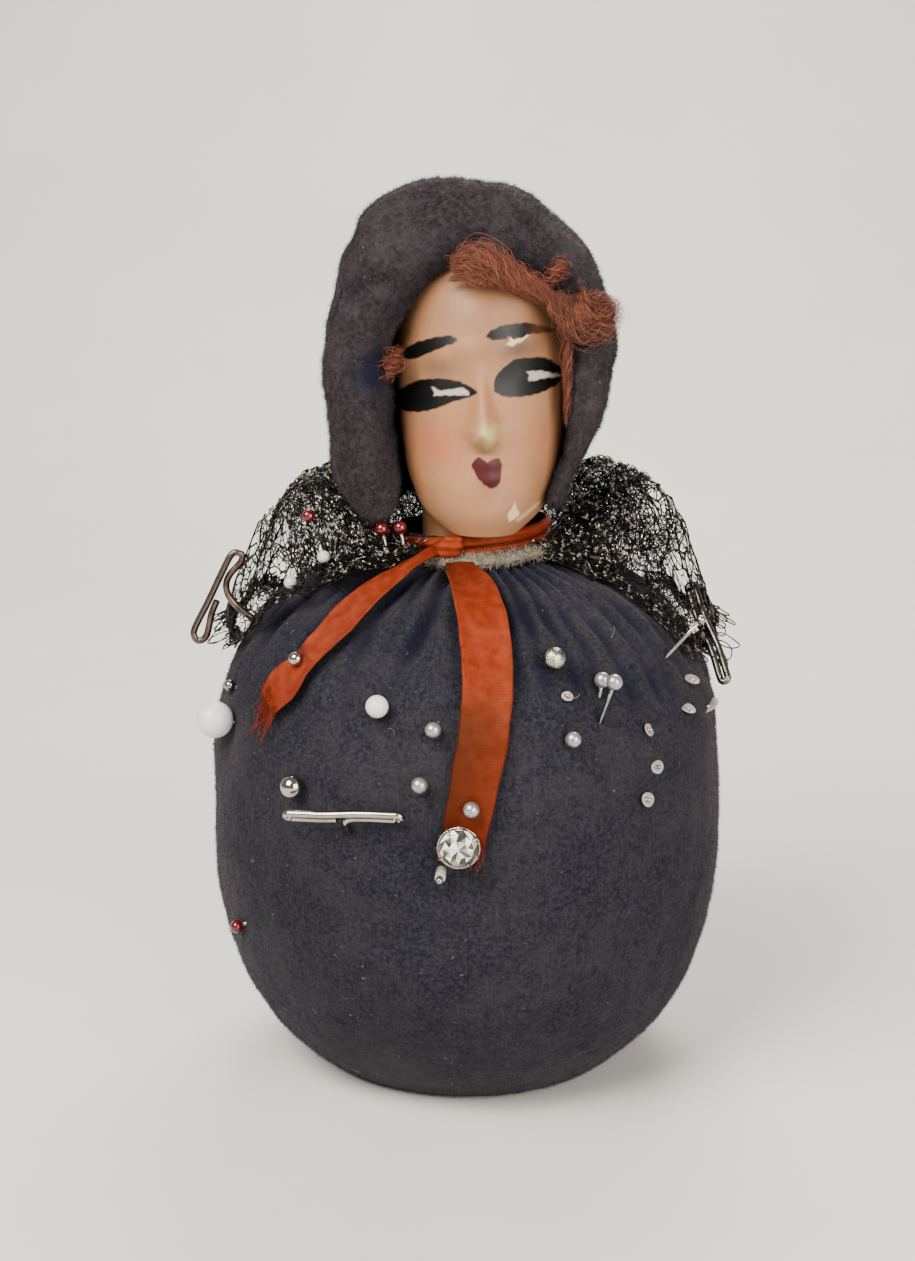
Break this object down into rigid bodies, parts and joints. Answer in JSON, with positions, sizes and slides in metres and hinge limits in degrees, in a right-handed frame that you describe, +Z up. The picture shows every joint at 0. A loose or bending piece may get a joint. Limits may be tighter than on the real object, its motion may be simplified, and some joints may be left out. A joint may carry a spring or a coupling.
{
  "type": "doll pincushion",
  "caption": "Seated pincushion: a velvet bag gathered into a painted doll's head with a padded hood, mohair, lace collar, ribbon and removable pins.",
  "frame": {"origin": "centre of the flat base, on the surface that it stands on", "axes": "+Z up through the head, -Y out of the face, +X to the right seen from the front"},
  "size_m": [0.0674, 0.067, 0.1096],
  "materials": {
    "slate_velvet": "matte pile",
    "hood_velvet": "matte pile",
    "stuffing": "matte",
    "card": "matte",
    "painted_composition": "painted, slightly glossy",
    "peg_wood": "bare",
    "thread": "matte",
    "cotton_tape": "fuzzy",
    "mohair": "fine fibre",
    "metal_lace": "tarnished silver thread",
    "satin": "satin",
    "pin_steel": "dull",
    "bright_steel": "polished",
    "brown_wire": "browned",
    "pearl_grey": "pearl coated",
    "pearl_white": "milk white",
    "red_glass": "glossy",
    "clear_glass": "clear",
    "sequin": "translucent"
  },
  "bodies": {
    "cushion": {"velvet_bag": "slate_velvet", "stuffing": "stuffing", "base_cover": "slate_velvet", "base_card": "card", "head": "painted_composition", "neck_peg": "peg_wood", "gathering_thread": "thread", "neck_tape": "cotton_tape", "hood_roll": "hood_velvet", "hood_crown": "hood_velvet", "hood_wadding": "stuffing", "hair_fringe": "mohair", "hair_tuft": "mohair", "lace_collar": "metal_lace", "ribbon_band": "satin", "ribbon_knot": "satin", "ribbon_front_tail": "satin", "ribbon_side_tail": "satin"},
    "pearl_pin_a": {"pearl_pin_a_head": "pearl_grey", "pearl_pin_a_shaft": "pin_steel"},
    "pearl_pin_b": {"pearl_pin_b_head": "pearl_grey", "pearl_pin_b_shaft": "pin_steel"},
    "pearl_pin_c": {"pearl_pin_c_head": "pearl_grey", "pearl_pin_c_shaft": "pin_steel"},
    "pearl_pin_d": {"pearl_pin_d_head": "pearl_grey", "pearl_pin_d_shaft": "pin_steel"},
    "pearl_pin_e": {"pearl_pin_e_head": "pearl_grey", "pearl_pin_e_shaft": "pin_steel"},
    "pearl_pin_f": {"pearl_pin_f_head": "pearl_grey", "pearl_pin_f_shaft": "pin_steel"},
    "white_pin_large": {"white_pin_large_head": "pearl_white", "white_pin_large_shaft": "pin_steel"},
    "white_pin_small": {"white_pin_small_head": "pearl_white", "white_pin_small_shaft": "pin_steel"},
    "steel_pin_left": {"steel_pin_left_head": "bright_steel", "steel_pin_left_shaft": "pin_steel"},
    "steel_pin_right": {"steel_pin_right_head": "bright_steel", "steel_pin_right_shaft": "pin_steel"},
    "steel_pin_side": {"steel_pin_side": "bright_steel"},
    "steel_pin_ribbon": {"steel_pin_ribbon": "bright_steel"},
    "red_pin_low": {"red_pin_low": "red_glass"},
    "red_pin_a": {"red_pin_a": "red_glass"},
    "red_pin_b": {"red_pin_b": "red_glass"},
    "red_pin_c": {"red_pin_c": "red_glass"},
    "clear_pin_a": {"clear_pin_a": "clear_glass"},
    "clear_pin_b": {"clear_pin_b": "clear_glass"},
    "plain_pin": {"plain_pin": "pin_steel"},
    "wire_pin_front": {"wire_pin_front": "pin_steel"},
    "wire_pin_left": {"wire_pin_left": "brown_wire"},
    "wire_pin_right": {"wire_pin_right": "pin_steel"},
    "rhinestone_pin": {"rhinestone_pin": "pin_steel", "rhinestone": "clear_glass"},
    "tube_bead_pin": {"tube_bead_pin": "clear_glass"},
    "sequin_pin_a": {"sequin_pin_a": "sequin"},
    "sequin_pin_b": {"sequin_pin_b": "sequin"},
    "sequin_pin_c": {"sequin_pin_c": "sequin"},
    "sequin_pin_d": {"sequin_pin_d": "sequin"},
    "sequin_pin_e": {"sequin_pin_e": "sequin"},
    "sequin_pin_f": {"sequin_pin_f": "sequin"},
    "sequin_pin_g": {"sequin_pin_g": "sequin"}
  },
  "joints": [
    {"name": "pearl_pin_a_slide", "type": "slide", "parent": "cushion", "child": "pearl_pin_a", "axis": [-0.1227, -0.9319, 0.3414], "range_m": [0, 0.0209]},
    {"name": "pearl_pin_b_slide", "type": "slide", "parent": "cushion", "child": "pearl_pin_b", "axis": [-0.1699, -0.9738, 0.1513], "range_m": [0, 0.0209]},
    {"name": "pearl_pin_c_slide", "type": "slide", "parent": "cushion", "child": "pearl_pin_c", "axis": [0.1292, -0.3167, 0.9397], "range_m": [0, 0.0203]},
    {"name": "pearl_pin_d_slide", "type": "slide", "parent": "cushion", "child": "pearl_pin_d", "axis": [0.2371, -0.4141, 0.8788], "range_m": [0, 0.0164]},
    {"name": "pearl_pin_e_slide", "type": "slide", "parent": "cushion", "child": "pearl_pin_e", "axis": [0.3635, -0.8862, 0.2873], "range_m": [0, 0.0209]},
    {"name": "pearl_pin_f_slide", "type": "slide", "parent": "cushion", "child": "pearl_pin_f", "axis": [0.0087, -0.9956, 0.0931], "range_m": [0, 0.0201]},
    {"name": "white_pin_large_slide", "type": "slide", "parent": "cushion", "child": "white_pin_large", "axis": [-0.899, -0.3816, 0.2147], "range_m": [0, 0.0209]},
    {"name": "white_pin_small_slide", "type": "slide", "parent": "cushion", "child": "white_pin_small", "axis": [-0.3107, -0.8537, 0.418], "range_m": [0, 0.0209]},
    {"name": "steel_pin_left_slide", "type": "slide", "parent": "cushion", "child": "steel_pin_left", "axis": [-0.6123, -0.7837, 0.1047], "range_m": [0, 0.0209]},
    {"name": "steel_pin_right_slide", "type": "slide", "parent": "cushion", "child": "steel_pin_right", "axis": [0.279, -0.7346, 0.6185], "range_m": [0, 0.0209]},
    {"name": "steel_pin_side_slide", "type": "slide", "parent": "cushion", "child": "steel_pin_side", "axis": [-0.8887, -0.306, 0.3414], "range_m": [0, 0.0149]},
    {"name": "steel_pin_ribbon_slide", "type": "slide", "parent": "cushion", "child": "steel_pin_ribbon", "axis": [-0.5823, -0.5905, 0.5587], "range_m": [0, 0.0201]},
    {"name": "red_pin_low_slide", "type": "slide", "parent": "cushion", "child": "red_pin_low", "axis": [-0.8743, -0.4571, -0.1635], "range_m": [0, 0.0209]},
    {"name": "red_pin_a_slide", "type": "slide", "parent": "cushion", "child": "red_pin_a", "axis": [-0.4322, -0.1834, 0.8829], "range_m": [0, 0.0134]},
    {"name": "red_pin_b_slide", "type": "slide", "parent": "cushion", "child": "red_pin_b", "axis": [-0.183, -0.183, 0.9659], "range_m": [0, 0.0166]},
    {"name": "red_pin_c_slide", "type": "slide", "parent": "cushion", "child": "red_pin_c", "axis": [-0.1558, -0.2067, 0.9659], "range_m": [0, 0.0166]},
    {"name": "clear_pin_a_slide", "type": "slide", "parent": "cushion", "child": "clear_pin_a", "axis": [-0.433, -0.25, 0.866], "range_m": [0, 0.012]},
    {"name": "clear_pin_b_slide", "type": "slide", "parent": "cushion", "child": "clear_pin_b", "axis": [-0.6485, -0.282, 0.7071], "range_m": [0, 0.0131]},
    {"name": "plain_pin_slide", "type": "slide", "parent": "cushion", "child": "plain_pin", "axis": [0.6471, -0.1083, 0.7547], "range_m": [0, 0.0155]},
    {"name": "wire_pin_front_slide", "type": "slide", "parent": "cushion", "child": "wire_pin_front", "axis": [-0.1562, -0.6506, 0.7431], "range_m": [0, 0.0264]},
    {"name": "wire_pin_left_slide", "type": "slide", "parent": "cushion", "child": "wire_pin_left", "axis": [-0.841, -0.1092, 0.5299], "range_m": [0, 0.0234]},
    {"name": "wire_pin_right_slide", "type": "slide", "parent": "cushion", "child": "wire_pin_right", "axis": [0.8996, -0.1105, 0.4226], "range_m": [0, 0.0271]},
    {"name": "rhinestone_pin_slide", "type": "slide", "parent": "cushion", "child": "rhinestone_pin", "axis": [-0.0331, -0.9992, 0.0221], "range_m": [0, 0.0201]},
    {"name": "tube_bead_pin_slide", "type": "slide", "parent": "cushion", "child": "tube_bead_pin", "axis": [-0.0938, -0.9736, -0.2079], "range_m": [0, 0.0149]},
    {"name": "sequin_pin_a_slide", "type": "slide", "parent": "cushion", "child": "sequin_pin_a", "axis": [0.3461, -0.8153, 0.4642], "range_m": [0, 0.0149]},
    {"name": "sequin_pin_b_slide", "type": "slide", "parent": "cushion", "child": "sequin_pin_b", "axis": [0.6564, -0.7039, 0.2716], "range_m": [0, 0.0149]},
    {"name": "sequin_pin_c_slide", "type": "slide", "parent": "cushion", "child": "sequin_pin_c", "axis": [0.6877, -0.7121, 0.1411], "range_m": [0, 0.0149]},
    {"name": "sequin_pin_d_slide", "type": "slide", "parent": "cushion", "child": "sequin_pin_d", "axis": [0.6494, -0.7577, 0.0641], "range_m": [0, 0.0149]},
    {"name": "sequin_pin_e_slide", "type": "slide", "parent": "cushion", "child": "sequin_pin_e", "axis": [0.8395, -0.3738, 0.3944], "range_m": [0, 0.0149]},
    {"name": "sequin_pin_f_slide", "type": "slide", "parent": "cushion", "child": "sequin_pin_f", "axis": [0.8195, -0.4905, 0.2964], "range_m": [0, 0.0149]},
    {"name": "sequin_pin_g_slide", "type": "slide", "parent": "cushion", "child": "sequin_pin_g", "axis": [0.9112, -0.3209, 0.2584], "range_m": [0, 0.0149]}
  ]
}
